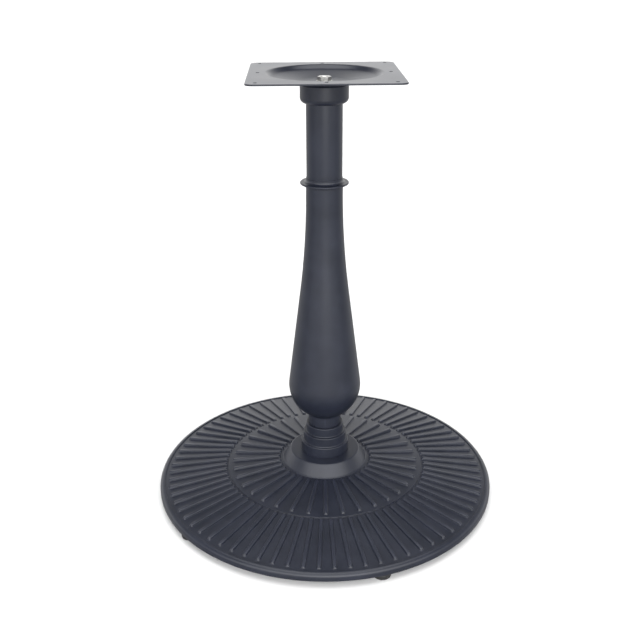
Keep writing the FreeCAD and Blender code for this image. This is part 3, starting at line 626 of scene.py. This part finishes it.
def web_shell(angle):
    """One stiffening web: an upright wall with a rounded lower edge, from boss to foot."""
    half = WEB_WIDTH / 2
    start, end = BOSS_RADIUS - half, foot_circle - FOOT_BOSS / 2
    buried = SKIN / 2
    stations = [
        (start, HUB_TOP[1] - HUB_WALL / 2),
        (HUB_INSIDE, HUB_TOP[1] - HUB_WALL / 2),
        (HUB_FOOT_INSIDE, HUB_FOOT[1] - buried),
        (STEP_RADIUS, STEP_HEIGHT - STEP_DROP - buried),
        (end, outer_field(end) - buried),
    ]
    points, faces = [], []
    for radius, top in stations:
        low = BOSS_FACE + (WEB_END_FACE - BOSS_FACE) * (radius - start) / (end - start)
        corners = [(half, top), (half, low, WEB_EDGE), (-half, low, WEB_EDGE), (-half, top)]
        for across, up in rounded(corners, HIDDEN_STEP):
            x = radius * math.cos(angle) - across * math.sin(angle)
            y = radius * math.sin(angle) + across * math.cos(angle)
            points.append((x, y, up + RIM_LOW))
    count = len(points) // len(stations)
    for place in range(len(stations) - 1):
        here, there = place * count, (place + 1) * count
        for k in range(count):
            after = (k + 1) % count
            faces.append((here + k, here + after, there + after, there + k))
    faces.append(tuple(range(count))[::-1])
    faces.append(tuple(range(len(points) - count, len(points))))
    return points, faces


def foot_boss_shell(place):
    """The bored boss that one foot screws into."""
    low = RIM_LOW + FOOT_BOSS_GAP
    corners = [
        (0.0, RIM_LOW + FOOT_BORE_DEPTH),
        (FOOT_BORE, RIM_LOW + FOOT_BORE_DEPTH),
        (FOOT_BORE, low, CAST_EDGE),
        (FOOT_BOSS, low, WALL_EDGE),
        (FOOT_BOSS, RIM_LOW + FOOT_BOSS_DEPTH),
        (0.0, RIM_LOW + FOOT_BOSS_DEPTH),
    ]
    return turned(rounded(corners, HIDDEN_STEP), segments=48, centre=place.xy)


def make_disc():
    """The ribbed casting, with a web and a bored boss for each foot."""
    shells = [disc_shell()]
    for place in feet:
        shells.append(web_shell(math.atan2(place.y, place.x)))
        shells.append(foot_boss_shell(place))
    piece("floor_disc", joined(shells), ["base_casting"], "frame", "coated_iron")


# ---------------------------------------------------------------- the column

# Millimetres: the radius of the vase's top, on which the ring stands, and the roundings of
# the edges where pieces meet.
COLUMN_TOP = 29.2
SEAM_EDGE = 0.4
FINE_SEAM_EDGE = 0.3


def make_plinth():
    """Three stepped rings with softened upper edges."""
    low_rise, middle_rise, high_rise = 18.5, 17.0, 16.5
    middle_inset, high_inset = 4.0, 8.7
    edge, cove, spigot_edge, spigot_gap = 1.5, 1.6, 0.6, 0.1
    bore = 22.0
    (_, _, foot), (radius, _, _) = span("column_plinth")
    middle, high = radius - middle_inset, radius - high_inset
    low_top = foot + low_rise
    middle_top = low_top + middle_rise
    high_top = middle_top + high_rise
    corners = [
        (bore, foot),
        (radius, foot, SEAM_EDGE),
        (radius, low_top, edge),
        (middle, low_top, cove),
        (middle, middle_top, edge),
        (high, middle_top, cove),
        (high, high_top, edge),
        (SPIGOT_RADIUS, high_top, SEAM_EDGE),
        (SPIGOT_RADIUS, high_top + SPIGOT_RISE, spigot_edge),
        (SPIGOT_BORE, high_top + SPIGOT_RISE, spigot_edge),
        (SPIGOT_BORE, foot + SPIGOT_RISE + spigot_gap),
        (bore, foot + SPIGOT_RISE + spigot_gap),
    ]
    shell = turned(rounded(corners), segments=160)
    piece("stepped_plinth", shell, ["column_plinth"], "frame", "coated_iron")


def make_vase():
    """The vase-shaped column: neck, round bulb, straight taper and a long flare to the top."""
    neck, fillet, wall = 28.0, 4.0, 6.0
    neck_straight = 20.0
    bulb_rise, body_height = 74.5, 422.5
    straight_top, straight_lead, flare_reach = 6.5, 1.0, 83.7
    spigot, bore, bore_depth = 25.6, 20.0, 30.0
    # The hollow's lower end: degrees short of the bulb's, then its drop in millimetres.
    hollow_margin, hollow_drop = 3, 12.0
    (_, _, foot), (bulb, _, top) = span("vase_column")
    centre = foot + bulb_rise
    height = foot + body_height
    flare_top = height - straight_top
    rise = flare_top - flare_reach - centre
    taper = math.atan2(rise, COLUMN_TOP) - math.acos(bulb / math.hypot(rise, COLUMN_TOP))
    flare = flare_reach / math.tan(taper / 2)
    taper_degrees = math.degrees(taper)
    drop = math.sqrt((bulb + fillet) ** 2 - (neck + fillet) ** 2)
    lean = math.degrees(math.atan2(drop, neck + fillet))
    outline = rounded([(neck - wall, foot), (neck, foot, SEAM_EDGE), (neck, foot + neck_straight)])
    outline += arc((neck + fillet, centre - drop), fillet, 180, 180 - lean, step=8)
    outline += arc((0, centre), bulb, -lean, taper_degrees, step=3)[1:]
    outline += arc((COLUMN_TOP + flare, flare_top), flare, 180 + taper_degrees, 180, step=0.6)
    straight = [(COLUMN_TOP, flare_top + straight_lead), (COLUMN_TOP, height, SEAM_EDGE)]
    outline += rounded([*straight, (spigot, height)])
    outline += [(spigot, top), (bore, top), (bore, height - bore_depth)]
    inside = arc((0, centre), bulb - wall, -lean + hollow_margin, taper_degrees, step=12)
    outline += inside[::-1] + [(neck - wall, inside[0][1] - hollow_drop)]
    piece("turned_column", turned(outline, segments=224), ["vase_column"], "frame", "coated_iron")


def make_ring():
    """The thin-edged ring with a filleted neck."""
    blade_low, blade_high, blade_edge = 3.6, 6.6, 1.35
    neck, neck_corner, foot_corner = 28.8, 4.5, 2.2
    bore = 25.7
    (_, _, foot), (radius, _, top) = span("bead_ring")
    low, high = foot + blade_low, foot + blade_high
    corners = [
        (bore, foot),
        (COLUMN_TOP, foot, FINE_SEAM_EDGE),
        (COLUMN_TOP, low, foot_corner),
        (radius, low, blade_edge),
        (radius, high, blade_edge),
        (neck, high, neck_corner),
        (neck, top, FINE_SEAM_EDGE),
        (bore, top),
    ]
    shell = turned(rounded(corners, step=12.0), segments=176)
    piece("collar_ring", shell, ["bead_ring"], "frame", "coated_iron")


def make_tube():
    """The straight tube, with slightly softened ends."""
    wall, top_edge = 2.5, 0.5
    (_, _, foot), (radius, _, top) = span("upper_tube")
    bore = radius - wall
    corners = [(bore, foot), (radius, foot, FINE_SEAM_EDGE), (radius, top, top_edge), (bore, top)]
    shell = turned(rounded(corners), segments=160)
    piece("column_tube", shell, ["upper_tube"], "frame", "coated_steel")


def make_collar():
    """The cup between the tube and the plate."""
    bore, roof = 28.3, 4.0
    lower_round, upper_round = 8.3, 3.0
    (_, _, foot), (radius, _, top) = span("top_collar")
    corners = [
        (ROD_HOLE, top - roof),
        (bore, top - roof),
        (bore, foot, SEAM_EDGE),
        (radius, foot, lower_round),
        (radius, top, upper_round),
        (ROD_HOLE, top),
    ]
    shell = turned(rounded(corners, step=8.0), segments=176)
    piece("plate_collar", shell, ["top_collar"], "frame", "coated_iron")


make_camera()
make_floor()
make_light()
make_disc()
make_plinth()
make_vase()
make_ring()
make_tube()
make_collar()

for part in frame["record"]["subparts"]:
    node = frame["nodes"][part["node"]]
    node.data.materials.clear()
    node.data.materials.append(FINISHES[part["material_slot"]])

bpy.context.scene.view_settings.view_transform = "Standard"
